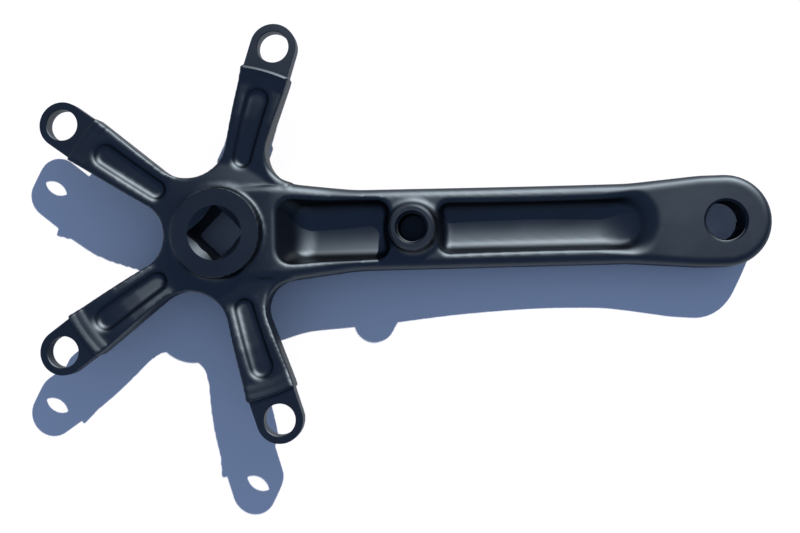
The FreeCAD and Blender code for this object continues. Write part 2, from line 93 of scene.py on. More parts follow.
def take(first: np.ndarray, second: np.ndarray, radius: float | np.ndarray) -> np.ndarray:
    """Cut the second field out of the first, with a rounded mouth."""
    return keep(first, -second, radius)


def blended(at: np.ndarray, table: Table, soft: float) -> np.ndarray:
    """Read a table of levels with its corners smoothed.

    Args:
        at: Where to read it.
        table: Pairs of position and level, straight between them.
        soft: How far the smoothing reaches on each side of a corner.

    Returns:
        The levels, in the shape of ``at``.
    """
    step = 0.1
    low, high = table[0][0] - 4 * soft, table[-1][0] + 4 * soft
    fine = np.arange(low, high, step)
    raw = np.interp(fine, *zip(*table))
    window = np.exp(-0.5 * (np.arange(-2.5 * soft, 2.5 * soft + step, step) / soft) ** 2)
    ends = len(window) // 2
    padded = np.pad(raw, ends, mode="edge")
    smooth = np.convolve(padded, window / window.sum(), mode="valid")[: len(fine)]
    return np.interp(at, fine, smooth).astype(np.float32)


@dataclass
class Grid:
    """The points at which the distances are worked out.

    Attributes:
        low, high: Lowest and highest corner.
        pitch: Step between points.
    """

    low: Triple
    high: Triple
    pitch: float

    def __post_init__(self) -> None:
        """Lay out the axes."""
        axes = [np.arange(a, b + self.pitch, self.pitch, dtype=np.float32)
                for a, b in zip(self.low, self.high)]
        self.x = axes[0][:, None, None]
        self.y = axes[1][None, :, None]
        self.z = axes[2][None, None, :]
        self.radius = np.sqrt(self.x ** 2 + self.y ** 2)

    @property
    def shape(self) -> tuple[int, int, int]:
        """Number of points along each axis."""
        return self.x.shape[0], self.y.shape[1], self.z.shape[2]


class Outline:
    """A closed outline seen along Z, of straight sides with rounded corners."""

    def __init__(self, corners: list[Triple]) -> None:
        """Sample the outline.

        Args:
            corners: x, y and radius of each corner, counter-clockwise. A radius of 0 is sharp.
        """
        points = [np.array(corner[:2]) for corner in corners]
        path: list[np.ndarray] = []
        for index, (*_, radius) in enumerate(corners):
            before, here, after = points[index - 1], points[index], points[(index + 1) % len(points)]
            path += self.corner(before, here, after, radius)
        self.path = np.array(path, dtype=np.float32)

    @staticmethod
    def corner(before: np.ndarray, here: np.ndarray, after: np.ndarray,
               radius: float) -> list[np.ndarray]:
        """Points of one corner, an arc where it has a radius."""
        if radius <= 0:
            return [here]
        back = (before - here) / np.linalg.norm(before - here)
        on = (after - here) / np.linalg.norm(after - here)
        half = math.acos(float(np.clip(back @ on, -1, 1))) / 2
        middle = (back + on) / np.linalg.norm(back + on)
        centre = here + middle * radius / math.sin(half)
        first = here + back * radius / math.tan(half) - centre
        last = here + on * radius / math.tan(half) - centre
        start = math.atan2(first[1], first[0])
        sweep = (math.atan2(last[1], last[0]) - start + math.pi) % (2 * math.pi) - math.pi
        steps = max(2, int(abs(sweep) * radius / 0.4))
        turns = start + sweep * np.linspace(0, 1, steps + 1)
        return [centre + radius * np.array((math.cos(t), math.sin(t))) for t in turns]

    def distance(self, grid: Grid) -> np.ndarray:
        """Distance to the outline of each column of the grid, negative inside."""
        x, y = np.broadcast_arrays(grid.x[:, :, 0], grid.y[:, :, 0])
        nearest = np.full(x.shape, 1e9, dtype=np.float32)
        inside = np.zeros(x.shape, dtype=bool)
        for (ax, ay), (bx, by) in zip(self.path, np.roll(self.path, -1, axis=0)):
            ex, ey = bx - ax, by - ay
            length = ex * ex + ey * ey
            if length < 1e-9:
                continue
            along = np.clip(((x - ax) * ex + (y - ay) * ey) / length, 0, 1)
            gap = (x - ax - along * ex) ** 2 + (y - ay - along * ey) ** 2
            nearest = np.minimum(nearest, gap)
            if ey:
                crossed = ((ay > y) != (by > y)) & (x < ax + (y - ay) * ex / ey)
                inside ^= crossed
        signed = np.sqrt(nearest) * np.where(inside, -1, 1)
        return signed[:, :, None].astype(np.float32)


CELL = np.array([(i, j, k) for i in (0, 1) for j in (0, 1) for k in (0, 1)])
CELL_EDGES = [(a, b) for a in range(8) for b in range(a + 1, 8)
              if np.abs(CELL[a] - CELL[b]).sum() == 1]


def skin(solid: np.ndarray, grid: Grid) -> tuple[np.ndarray, np.ndarray]:
    """Wrap the inside of a field of distances in a closed surface of quads.

    Args:
        solid: Distances on the grid, negative inside.
        grid: The grid.

    Returns:
        Vertices in millimetres, and quads that face outwards.
    """
    inside = solid < 0
    corners = [tuple(slice(o, n - 1 + o) for o, n in zip(offset, solid.shape)) for offset in CELL]
    count = sum(inside[c].astype(np.int8) for c in corners)
    cells = np.argwhere((count > 0) & (count < 8))
    values = np.stack([solid[tuple((cells + offset).T)] for offset in CELL], axis=1)
    total = np.zeros((len(cells), 3), dtype=np.float64)
    crossings = np.zeros(len(cells))
    for a, b in CELL_EDGES:
        va, vb = values[:, a], values[:, b]
        cut = (va < 0) != (vb < 0)
        share = np.where(cut, va / np.where(cut, va - vb, 1), 0)[:, None]
        total += np.where(cut[:, None], CELL[a] + share * (CELL[b] - CELL[a]), 0)
        crossings += cut
    vertices = np.array(grid.low) + (cells + total / crossings[:, None]) * grid.pitch
    number = np.full(tuple(n - 1 for n in solid.shape), -1, dtype=np.int64)
    number[tuple(cells.T)] = np.arange(len(cells))
    quads = [side for axis in range(3) for side in crossed_sides(inside, number, axis)]
    return vertices, np.concatenate(quads)


def evened(vertices: np.ndarray, quads: np.ndarray, rounds: int = 3) -> np.ndarray:
    """Take the grid's steps out of a surface without shrinking it.

    Args:
        vertices: Its vertices.
        quads: Its faces.
        rounds: How often each vertex goes towards its neighbours and back.

    Returns:
        The moved vertices.
    """
    ends = quads.ravel()
    others = np.roll(quads, -1, axis=1).ravel()
    ends, others = np.concatenate([ends, others]), np.concatenate([others, ends])
    degree = np.bincount(ends, minlength=len(vertices))[:, None]
    for share in (0.5, -0.53) * rounds:
        total = np.stack([np.bincount(ends, vertices[others, axis], len(vertices))
                          for axis in range(3)], axis=1)
        vertices = vertices + share * (total / degree - vertices)
    return vertices


def crossed_sides(inside: np.ndarray, number: np.ndarray, axis: int) -> list[np.ndarray]:
    """The quads round the grid's edges along one axis that pass through the surface."""
    u, v = (axis + 1) % 3, (axis + 2) % 3
    first = np.take(inside, range(inside.shape[axis] - 1), axis)
    second = np.take(inside, range(1, inside.shape[axis]), axis)
    found = []
    for leaves in (True, False):
        at = np.argwhere((first & ~second) if leaves else (~first & second))
        at = at[(at[:, u] > 0) & (at[:, v] > 0)]
        step_u, step_v = np.eye(3, dtype=int)[u], np.eye(3, dtype=int)[v]
        ring = [at - step_u - step_v, at - step_v, at, at - step_u]
        quad = np.stack([number[tuple(cell.T)] for cell in ring], axis=1)
        found.append(quad if leaves else quad[:, ::-1])
    return found


@dataclass
class CrankBar:
    """The bar from the hub to the pedal eye, without its channels.

    Attributes:
        eye_radius: Radius of the pedal eye.
        root_half, waist_half: Half the width at the hub and along the channels.
        edge_round, eye_round: Radii of the long edges and of those round the eye.
        side_draft: Lean of the sides, as a slope.
        hub_level, hub_rise: Level of the rails beside the hub's ring, and how fast they rise.
        back, front: Levels of the rails and of the front along X.
    """

    eye_radius: float = 15.7
    root_half: float = 16.6
    waist_half: float = 13.8
    edge_round: float = 3.2
    eye_round: float = 2.6
    side_draft: float = 0.035
    hub_level: float = 17.95
    hub_rise: float = 0.17
    back: Table = field(default_factory=lambda: [
        (-20, 18.8), (19, 18.8), (36, 14.7), (47, 14.4), (57, 13.2), (67, 11.9), (77, 10.4),
        (87, 9.0), (97, 7.9), (107, 6.9), (117, 6.1), (128, 5.6), (138, 5.3), (148, 5.15),
        (200, 5.15)])
    front: Table = field(default_factory=lambda: [
        (-20, 0.0), (24, 0.0), (140, -8.85), (200, -8.85)])

    def plan(self) -> Outline:
        """The bar seen from the back."""
        tip, eye = LENGTH + self.eye_radius, self.eye_radius
        upper = [(tip, eye, eye - 0.01), (LENGTH - 8, eye, 60), (138, self.waist_half, 90),
                 (46, self.waist_half, 60), (22, self.root_half, 30), (-8, self.root_half, 0)]
        lower = [(x, -y, radius) for x, y, radius in reversed(upper)]
        return Outline(lower + upper)

    def top(self, grid: Grid) -> np.ndarray:
        """Level of the rails, which falls to the spider beside the hub's ring."""
        by_hub = self.hub_level + self.hub_rise * np.maximum(grid.x + 2, 0)
        return np.minimum(blended(grid.x, self.back, 2.2), by_hub)

    def distance(self, grid: Grid) -> np.ndarray:
        """The bar without its channels."""
        back = self.top(grid)
        front = blended(grid.x, self.front, 7.0)
        middle = (back + front) / 2
        sides = self.plan().distance(grid) + self.side_draft * np.abs(grid.z - middle)
        soft = blended(grid.x, [(0, self.edge_round), (140, self.edge_round),
                                (165, self.eye_round)], 6)
        bar = keep(sides, grid.z - back, soft)
        return keep(bar, front - grid.z, soft + 0.6)


@dataclass
class Channel:
    """A draughted channel sunk into the back of the bar.

    Attributes:
        start, end, half: X of both ends and half the width, at the mouth.
        mouth, floor, corner: Level of the mouth, of the floor's middle, and corner radius, at both ends.
        draft, foot_round: Lean of the walls in degrees, and their radius at the floor.
        dish: Radius of the floor across.
        slope_end, slope_top: X and level between which a slope leads down from the near end.
        run_out: X where the floor starts to rise to the far mouth, or nothing.
        end_round, run_round: Radii of that slope and of that rise against the rest.
    """

    start: float
    end: float
    half: float
    mouth: Pair
    floor: Pair
    corner: Pair
    draft: float = 19.0
    foot_round: float = 2.0
    dish: float = 23.0
    slope_end: float | None = None
    slope_top: float = 19.8
    end_round: float = 4.2
    run_out: float | None = None
    run_round: float = 5.0

    def distance(self, grid: Grid) -> np.ndarray:
        """The space of the channel."""
        near, far = self.corner
        outline = Outline([(self.start, -self.half, near), (self.end, -self.half, far),
                           (self.end, self.half, far), (self.start, self.half, near)])
        ends = (self.start, self.end)
        mouth = np.interp(grid.x, ends, self.mouth).astype(np.float32)
        middle = np.interp(grid.x, ends, self.floor).astype(np.float32)
        floor = middle + grid.y ** 2 / (2 * self.dish)
        lean = math.radians(self.draft)
        sides = outline.distance(grid) + np.maximum(mouth - grid.z, -2) * math.tan(lean)
        space = keep(sides * math.cos(lean), floor - grid.z, self.foot_round)
        if self.run_out is not None:
            space = keep(space, self.far_rise(grid), self.run_round)
        if self.slope_end is not None:
            space = keep(space, self.near_slope(grid), self.end_round)
        return space

    def far_rise(self, grid: Grid) -> np.ndarray:
        """What lies under the rise from the floor to the far mouth."""
        run, rise = self.end - self.run_out, self.mouth[1] - self.floor[1]
        along, above = grid.x - self.run_out, grid.z - self.floor[1]
        return (along * rise - above * run) / math.hypot(run, rise)

    def near_slope(self, grid: Grid) -> np.ndarray:
        """What lies under the slope from the near end down to the floor."""
        run, fall = self.slope_end - self.start, self.slope_top - self.floor[0]
        along, above = grid.x - self.start, grid.z - self.slope_top
        return -(along * fall + above * run) / math.hypot(run, fall)


@dataclass
class Spider:
    """The star of arms round the hub, dished on both sides.

    Attributes:
        tab_radius: Radius of an arm's end.
        tip_half, axis_half: Half an arm's width at the seat, and carried on to the spindle's axis.
        crank_half: Half the crank's width at the hub.
        web_round, root_round: Radii from arm to arm, and from an arm to the crank.
        edge_round, bar_round: Radii of the back's edges, and of those beside the crank.
        front_round: Radius of the front's edges.
        side_draft, parting: Lean of the sides as a slope, and the level where they are widest.
        by_bar, by_hub: Where the back leaves the rails towards the arms and the hub, and the slope.
        slot_start, slot_end: Radii where a slot's round ends are centred.
        slot_half, slot_flare: Half its width at the near end, and how fast it widens.
        slot_lean, slot_depth: Lean of its walls in degrees, and its depth.
        slot_round, slot_mouth: Radii at its floor and at its mouth.
        back, front: Levels of the back and of the front by radius.
    """

    tab_radius: float = 7.8
    tip_half: float = 8.45
    axis_half: float = 4.5
    crank_half: float = 16.6
    web_round: Triple = (14.0, 12.0, 14.0)
    root_round: Pair = (10.0, 9.0)
    edge_round: float = 0.65
    bar_round: float = 3.0
    front_round: float = 1.6
    side_draft: float = 0.02
    parting: float = 18.0
    by_bar: Pair = (17.0, 0.6)
    by_hub: Pair = (14.0, 1.5)
    slot_start: float = 26.6
    slot_end: float = 46.6
    slot_half: float = 3.6
    slot_flare: float = 0.03
    slot_lean: float = 30.0
    slot_depth: float = 1.9
    slot_round: float = 0.9
    slot_mouth: float = 0.6
    back: Table = field(default_factory=lambda: [
        (0, 17.95), (15.0, 17.95), (24.0, 17.0), (34.5, 19.35), (40, 20.2), (45, 20.45),
        (51.5, 20.5), (52.9, 21.12), (54.2, 21.2), (55.8, 21.88), (90, 21.9)])
    front: Table = field(default_factory=lambda: [
        (0, 6.0), (19, 6.3), (36, 9.4), (50, 11.4), (57, 12.6), (59, 14.0), (90, 14.2)])

    @property
    def flare(self) -> float:
        """How fast an arm widens."""
        return (self.tip_half - self.axis_half) / SEAT_RADIUS

    def placed(self, arm: float, along: float, across: float, radius: float) -> Triple:
        """A corner given in the coordinates of one arm."""
        turn = arm * TURN
        return (along * math.cos(turn) - across * math.sin(turn),
                along * math.sin(turn) + across * math.cos(turn), radius)

    def plan(self) -> Outline:
        """The star seen from the back."""
        step = math.sqrt(SEAT_RADIUS ** 2 - self.tip_half ** 2)
        end = BOLT_CIRCLE / 2 + self.tab_radius
        reach = self.axis_half / (math.sin(TURN / 2) - self.flare * math.cos(TURN / 2))
        corners = [(25.0, -self.crank_half, 0.0), (25.0, self.crank_half, 0.0),
                   self.root_corner(1, self.root_round[0])]
        for arm in range(1, ARMS + 1):
            corners += [
                self.placed(arm, step, -self.tip_half, 0.0),
                self.placed(arm, step, -self.tab_radius, 0.0),
                self.placed(arm, end, -self.tab_radius, self.tab_radius - 0.01),
                self.placed(arm, end, self.tab_radius, self.tab_radius - 0.01),
                self.placed(arm, step, self.tab_radius, 0.0),
                self.placed(arm, step, self.tip_half, 0.0)]
            if arm < ARMS:
                corners.append(self.placed(arm + 0.5, reach, 0.0, self.web_round[arm - 1]))
        corners.append(self.root_corner(-1, self.root_round[1]))
        return Outline(corners)

    def root_corner(self, side: int, radius: float) -> Triple:
        """Where the first or last arm meets the side of the bar."""
        sine, cosine = math.sin(TURN), math.cos(TURN)
        along = (self.crank_half + self.axis_half * cosine) / (sine - self.flare * cosine)
        x = along * (cosine + self.flare * sine) + self.axis_half * sine
        return x, side * self.crank_half, radius

    def distance(self, grid: Grid, rails: np.ndarray) -> np.ndarray:
        """The star with its slots.

        Args:
            grid: The grid.
            rails: Level of the bar's rails, to which the star falls between its arms.
        """
        (bar_side, bar_slope), (hub_side, hub_slope) = self.by_bar, self.by_hub
        beside = rails + bar_slope * np.maximum(np.abs(grid.y) - bar_side, 0)
        beside = beside + hub_slope * np.maximum(hub_side - grid.x, 0)
        back = np.minimum(blended(grid.radius, self.back, 0.4), beside)
        front = blended(grid.radius, self.front, 2.5)
        near_bar = blended(grid.x, [(9, 0), (22, 1)], 2.0) * np.clip((27 - np.abs(grid.y)) / 6, 0, 1)
        soft = self.edge_round + (self.bar_round - self.edge_round) * near_bar
        sides = self.plan().distance(grid) + self.side_draft * np.abs(grid.z - self.parting)
        star = keep(keep(sides, grid.z - back, soft), front - grid.z, self.front_round)
        for arm in range(1, ARMS + 1):
            star = take(star, self.slot(grid, arm, back), self.slot_mouth)
        return star

    def slot(self, grid: Grid, arm: int, back: np.ndarray) -> np.ndarray:
        """The tapered pocket in the back of one arm."""
        turn = arm * TURN
        along = grid.x * math.cos(turn) + grid.y * math.sin(turn)
        across = np.abs(grid.y * math.cos(turn) - grid.x * math.sin(turn))
        middle = np.clip(along, self.slot_start, self.slot_end)
        half = self.slot_half + self.slot_flare * (middle - self.slot_start)
        plan = np.sqrt((along - middle) ** 2 + across ** 2) - half
        lean = math.radians(self.slot_lean)
        sides = plan * math.cos(lean) + (back - grid.z) * math.sin(lean)
        return keep(sides, (back - self.slot_depth) - grid.z, self.slot_round)


@dataclass
class Hub:
    """The hub's forged body and the boss for the fifth bolt.

    Attributes:
        boss_draft, boss_foot: Lean of the boss's side in degrees, and the level where it starts.
        stock: What the forging leaves above the boss's faced top.
        front: Level of the hub's front.
        body, back: Radius of the hub by level, and level of its back by radius.
    """

    boss_draft: float = 5.0
    boss_foot: float = 3.0
    stock: float = 0.6
    front: float = 0.0
    body: Table = field(default_factory=lambda: [
        (-2, 14.8), (0, 14.8), (6.5, 16.4), (14, 17.0), (30, 17.2)])
    back: Table = field(default_factory=lambda: [
        (0, 23.8), (14.75, 23.8), (14.85, 22.5), (15.05, 20.0), (15.4, 18.9), (16.0, 18.3),
        (17.0, 17.95), (19.0, 17.0), (40, 15.5)])

    def distance(self, grid: Grid) -> np.ndarray:
        """The hub's body."""
        side = grid.radius - blended(grid.z, self.body, 1.0)
        back = np.interp(grid.radius, *zip(*self.back)).astype(np.float32)
        body = keep(side, grid.z - back, 0.3)
        return keep(body, self.front - grid.z, 0.9)

    def boss(self, grid: Grid) -> np.ndarray:
        """The boss on the bridge between the channels."""
        radius = np.sqrt((grid.x - BOSS_AT) ** 2 + grid.y ** 2)
        lean = math.radians(self.boss_draft)
        wider = (BOSS_TOP - grid.z) * math.tan(lean)
        side = (radius - BOSS_RADIUS - wider) * math.cos(lean)
        boss = keep(side, grid.z - (BOSS_TOP + self.stock), 0.3)
        return np.maximum(boss, self.boss_foot - grid.z)


def make_object(name: str, vertices: np.ndarray, faces: list | np.ndarray) -> Piece:
    """A mesh object at the origin from points in millimetres."""
    mesh = bpy.data.meshes.new(name)
    mesh.from_pydata((np.asarray(vertices) * MM).tolist(), [], [list(map(int, f)) for f in faces])
    mesh.update()
    made = bpy.data.objects.new(name, mesh)
    bpy.context.scene.collection.objects.link(made)
    return made


def lathe(name: str, profile: Table, centre: Pair = (0, 0),
          sector: Pair | None = None, steps: int = 144) -> Piece:
    """A turned solid from a closed profile of radius and height.

    Args:
        name: Name of the object.
        profile: Points, counter-clockwise with the radius to the right.
        centre: Where its axis stands.
        sector: First and last angle in degrees of a part turn, or nothing for a full one.
        steps: Faces round the axis.
    """
    start, stop = sector or (0, 360)
    full = sector is None
    turns = np.radians(np.linspace(start, stop, steps, endpoint=not full))
    rows: list[list[int]] = []
    points: list[Triple] = []
    for radius, height in profile:
        if radius < 1e-6:
            points.append((centre[0], centre[1], height))
            rows.append([len(points) - 1] * len(turns))
            continue
        rows.append(list(range(len(points), len(points) + len(turns))))
        points += [(centre[0] + radius * math.cos(t), centre[1] + radius * math.sin(t), height)
                   for t in turns]
    faces = []
    span = len(turns) if full else len(turns) - 1
    for index, row in enumerate(rows):
        after = rows[(index + 1) % len(rows)]
        for i in range(span):
            j = (i + 1) % len(turns)
            loop = [row[i], row[j], after[j], after[i]]
            loop = [v for n, v in enumerate(loop) if v != loop[n - 1]]
            if len(set(loop)) > 2:
                faces.append(loop)
    if not full:
        faces.append([row[0] for row in rows])
        faces.append([row[-1] for row in reversed(rows)])
    made = make_object(name, np.array(points), faces)
    return facing_out(made)


def facing_out(made: Piece) -> Piece:
    """Merge doubles and turn all faces outwards."""
    shell = bmesh.new()
    shell.from_mesh(made.data)
    bmesh.ops.remove_doubles(shell, verts=shell.verts, dist=1e-7)
    bmesh.ops.recalc_face_normals(shell, faces=shell.faces)
    shell.to_mesh(made.data)
    shell.free()
    return made


def broach(name: str, flats: float, draft: float, corner: float, low: float, narrow: float,
           high: float) -> Piece:
    """The square taper from low to high, as wide as its flats at narrow, a corner to the pedal."""
    rings = []
    for level in (low, high):
        half = flats / 2 + (level - narrow) * math.tan(math.radians(draft))
        outline = Outline([(half * math.sqrt(2) * math.cos(t), half * math.sqrt(2) * math.sin(t), corner)
                           for t in (0, math.pi / 2, math.pi, 1.5 * math.pi)]).path
        rings.append([(x, y, level) for x, y in outline])
    count = len(rings[0])
    faces = [[i, (i + 1) % count, count + (i + 1) % count, count + i] for i in range(count)]
    faces += [list(range(count))[::-1], list(range(count, 2 * count))]
    return facing_out(make_object(name, np.array(rings[0] + rings[1]), faces))


@dataclass
class Machining:
    """What is turned, drilled and broached after forging.

    Attributes:
        seat_sector: First and last angle of the chainring's seats, in degrees.
        tab_back, tab_front: Levels of both seats.
        tab_hole, countersink: Radius of a bolt hole, and the chamfer at its mouths.
        lip: Level of the forging's edge over the back seat.
        ring_radius, ring_chamfer, hub_back: Radius, chamfer and level of the hub's ring.
        socket_mouth, socket_depth: Radius and depth of the cone before the square.
        flats, taper, square_corner: Width, lean in degrees and corner radius of the square.
        puller_root, puller_depth, puller_chamfer: Radius, depth and chamfer of the puller's bore.
        boss_mouth, boss_root, boss_depth: Radius of the boss's bore above and along its thread, depth.
        pedal_root, pedal_chamfer: Radius of the pedal's bore, and the chamfer at its mouths.
        pedal_back, pedal_front: Levels of the eye's faces.
        clear: How far a facing tool stands out of the metal.
    """

    seat_sector: Pair = (42, 318)
    tab_back: float = 20.15
    tab_front: float = 15.45
    tab_hole: float = 5.25
    countersink: float = 0.25
    lip: float = 21.7
    ring_radius: float = 14.6
    ring_chamfer: float = 0.9
    hub_back: float = 23.0
    socket_mouth: float = 9.1
    socket_depth: float = 2.0
    flats: float = 12.7
    taper: float = 2.0
    square_corner: float = 1.3
    puller_root: float = 11.0
    puller_depth: float = 8.5
    puller_chamfer: float = 0.6
    boss_mouth: float = 5.25
    boss_root: float = 4.95
    boss_depth: float = 14.0
    pedal_root: float = 7.05
    pedal_chamfer: float = 0.4
    pedal_back: float = 5.15
    pedal_front: float = -8.85
    clear: float = 9.0

    def seats(self) -> list[Piece]:
        """Both chainring seats, turned all round but for the bar."""
        edge, lip, far = SEAT_RADIUS, self.lip, 90
        back = [(edge, self.tab_back), (far, self.tab_back), (far, 40), (edge - 1.6, 40),
                (edge - 1.6, lip + 0.3), (edge - 0.7, lip - 0.05), (edge - 0.25, lip - 0.4),
                (edge, lip - 1.05)]
        front = [(edge, -10), (far, -10), (far, self.tab_front), (edge, self.tab_front)]
        return [lathe("back_seat", back, sector=self.seat_sector),
                lathe("front_seat", front, sector=self.seat_sector)]

    def facing(self, name: str, inner: float, outer: float, top: float,
               centre: Pair = (0, 0)) -> Piece:
        """A tool that faces a boss and chamfers its edge, between two radii."""
        return lathe(name, [(0, top), (inner, top), (outer, top - (outer - inner)),
                            (outer, top + self.clear), (0, top + self.clear)], centre)

    def through_hole(self, name: str, radius: float, back: float, front: float,
                     centre: Pair, edge: float) -> Piece:
        """A drill with a countersink at both faces."""
        return lathe(name, [
            (0, front - 4), (radius + edge + 4, front - 4), (radius, front + edge),
            (radius, back - edge), (radius + edge + 4, back + 4), (0, back + 4)], centre, steps=96)

    def holes(self) -> list[Piece]:
        """The tab holes, the pedal bore and the hub's bores."""
        tools = []
        for arm in range(1, ARMS + 1):
            turn = arm * TURN
            centre = (BOLT_CIRCLE / 2 * math.cos(turn), BOLT_CIRCLE / 2 * math.sin(turn))
            tools.append(self.through_hole(f"tab_drill_{arm}", self.tab_hole, self.tab_back,
                                           self.tab_front, centre, self.countersink))
        tools.append(self.through_hole("pedal_drill", self.pedal_root, self.pedal_back,
                                       self.pedal_front, (LENGTH, 0), self.pedal_chamfer))
        root, depth, edge = self.puller_root, self.puller_depth, self.puller_chamfer
        tools.append(lathe("puller_drill", [(0, -3), (root + edge + 3, -3), (root, edge),
                                            (root, depth), (0, depth)]))
        top, mouth = BOSS_TOP, self.boss_mouth
        tools.append(lathe("boss_drill", [
            (0, top - self.boss_depth - 2.4), (self.boss_root, top - self.boss_depth),
            (self.boss_root, top - 2.0), (mouth, top - 1.6), (mouth, top - 0.25),
            (mouth + 3.25, top + 3), (0, top + 3)], (BOSS_AT, 0), steps=96))
        back, mouth, depth = self.hub_back, self.socket_mouth, self.socket_depth
        tools.append(lathe("socket_mouth", [(mouth - depth, back - depth), (mouth, back),
                                            (mouth + 3, back + 3), (0, back + 3), (0, back - depth)]))
        return tools

    def tools(self) -> list[tuple[Piece, Finish]]:
        """Every cutter with the finish that it leaves."""
        ring = self.ring_radius
        turned = [
            *self.seats(),
            self.facing("ring_tool", ring, ring + self.ring_chamfer, self.hub_back),
            self.facing("boss_tool", BOSS_RADIUS - 0.75, BOSS_RADIUS + 0.45, BOSS_TOP, (BOSS_AT, 0)),
            *self.holes()]
        square = broach("square_broach", self.flats, self.taper, self.square_corner,
                        self.puller_depth - 1, self.puller_depth, self.hub_back + 1.5)
        return [(tool, Finish.TURNED) for tool in turned] + [(square, Finish.BROACHED)]


def cut_out(body: Piece, tool: Piece, slot: int) -> None:
    """Cut a tool out of the body and give the cut faces a material slot."""
    for polygon in tool.data.polygons:
        polygon.material_index = slot
    cut = body.modifiers.new(tool.name, "BOOLEAN")
    cut.operation = "DIFFERENCE"
    cut.solver = "MANIFOLD"
    cut.object = tool
    evaluated = body.evaluated_get(bpy.context.evaluated_depsgraph_get())
    mesh = bpy.data.meshes.new_from_object(evaluated)
    body.modifiers.clear()
    old, body.data = body.data, mesh
    bpy.data.meshes.remove(old)
    bpy.data.objects.remove(tool)


class Signal:
    """A socket of a shader that arithmetic works on."""

    def __init__(self, graph: "Graph", socket: bpy.types.NodeSocket) -> None:
        """Wrap an output socket."""
        self.graph, self.socket = graph, socket

    def _math(self, operation: str, *values: "Signal | float") -> "Signal":
        """Add a Math node."""
        return self.graph.node("ShaderNodeMath", {"operation": operation}, dict(enumerate(values)))

    def __add__(self, other: "Signal | float") -> "Signal":
        """Sum."""
        return self._math("ADD", self, other)

    def __mul__(self, other: "Signal | float") -> "Signal":
        """Product."""
        return self._math("MULTIPLY", self, other)

    def smooth(self, low: float, high: float) -> "Signal":
        """0 below one value, 1 above another, smooth between."""
        return self.graph.node("ShaderNodeMapRange", {"interpolation_type": "SMOOTHSTEP"},
                               {"Value": self, "From Min": low, "From Max": high})


class Graph:
    """The node tree of one finish."""

    def __init__(self, name: str) -> None:
        """Start an empty material."""
        self.material = bpy.data.materials.new(name)
        self.material.use_nodes = True
        self.tree = self.material.node_tree
        self.tree.nodes.clear()

    def node(self, kind: str, settings: dict | None = None, inputs: dict | None = None,
             output: str | int = 0) -> Signal:
        """Add a node.

        Args:
            kind: Type of the node.
            settings: Its properties, set first.
            inputs: Values or signals by socket name or number.
            output: Which output to return.

        Returns:
            The output as a signal.
        """
        made = self.tree.nodes.new(kind)
        for name, value in (settings or {}).items():
            setattr(made, name, value)
        for name, value in (inputs or {}).items():
            socket = made.inputs[name]
            if isinstance(value, Signal):
                self.tree.links.new(value.socket, socket)
            else:
                socket.default_value = value
        return Signal(self, made.outputs[output]) if len(made.outputs) else Signal(self, None)

    def noise(self, scale: float, detail: float, rough: float) -> Signal:
        """Noise in object space; the scale is in turns per metre."""
        place = self.node("ShaderNodeTexCoord", output="Object")
        return self.node("ShaderNodeTexNoise", None, {
            "Vector": place, "Scale": scale, "Detail": detail, "Roughness": rough})

    def mix(self, share: Signal | float, first: tuple | Signal, second: tuple | Signal) -> Signal:
        """Mix two colours, which are the node's inputs 6 and 7."""
        return self.node("ShaderNodeMix", {"data_type": "RGBA"}, {0: share, 6: first, 7: second}, 2)

    def finish(self, shader: Signal) -> bpy.types.Material:
        """Connect the shader to the output."""
        self.node("ShaderNodeOutputMaterial", None, {"Surface": shader})
        return self.material


@dataclass(frozen=True)
class BlackAnodised:
    """Black anodising over blasted aluminium, worn a little along its edges.

    Attributes:
        name: Name of the material.
        colour: Base colour of the anodised skin.
        cloudy: How much lighter that colour is in the lightest patches.
        worn: Colour where the skin is rubbed.
        tint: Colour of the light that the skin mirrors.
        grain: Grains of the blasted surface per metre.
        grain_height: Height of the grain in metres.
        relief: How strongly the grain bends the light.
        roughness: Roughness of the skin.
        specular: Sheen of the skin itself, under the mirrored light.
        sheen: Share of the light that the skin mirrors.
        wear: How much of the edges is rubbed.
    """

    name: str
    colour: Colour = (0.0016, 0.0019, 0.0026, 1.0)
    cloudy: float = 1.35
    worn: Colour = (0.16, 0.165, 0.18, 1.0)
    tint: Colour = (0.74, 0.88, 1.0, 1.0)
    grain: float = 2600.0
    grain_height: float = 0.00004
    relief: float = 0.11
    roughness: float = 0.515
    specular: float = 0.05
    sheen: float = 0.078
    wear: float = 0.35

    def build(self) -> bpy.types.Material:
        """Make the material: a dark skin under the even sheen of a blasted surface."""
        graph = Graph(self.name)
        cloud = graph.noise(55.0, 3.0, 0.55)
        fine = graph.noise(self.grain, 3.0, 0.6)
        edge = graph.node("ShaderNodeNewGeometry", output="Pointiness").smooth(0.53, 0.60)
        rubbed = edge * graph.noise(420.0, 4.0, 0.7).smooth(0.45, 0.7) * self.wear
        tone = graph.mix(cloud.smooth(0.3, 0.7), self.colour,
                         tuple(c * self.cloudy for c in self.colour[:3]) + (1.0,))
        colour = graph.mix(rubbed, tone, self.worn)
        rough = fine * 0.05 + cloud * 0.05 + (self.roughness - 0.05)
        bump = graph.node("ShaderNodeBump", None, {
            "Strength": self.relief, "Distance": self.grain_height, "Height": fine})
        anodised = graph.node("ShaderNodeBsdfPrincipled", None, {
            "Base Color": colour, "Roughness": rough, "Metallic": 0.0, "IOR": 1.5,
            "Specular IOR Level": self.specular, "Normal": bump})
        gloss = graph.node("ShaderNodeBsdfAnisotropic", {"distribution": "BECKMANN"}, {
            "Color": self.tint, "Roughness": rough, "Normal": bump})
        return graph.finish(graph.node("ShaderNodeMixShader", None, {
            0: cloud * 0.02 + (self.sheen - 0.01), 1: anodised, 2: gloss}))


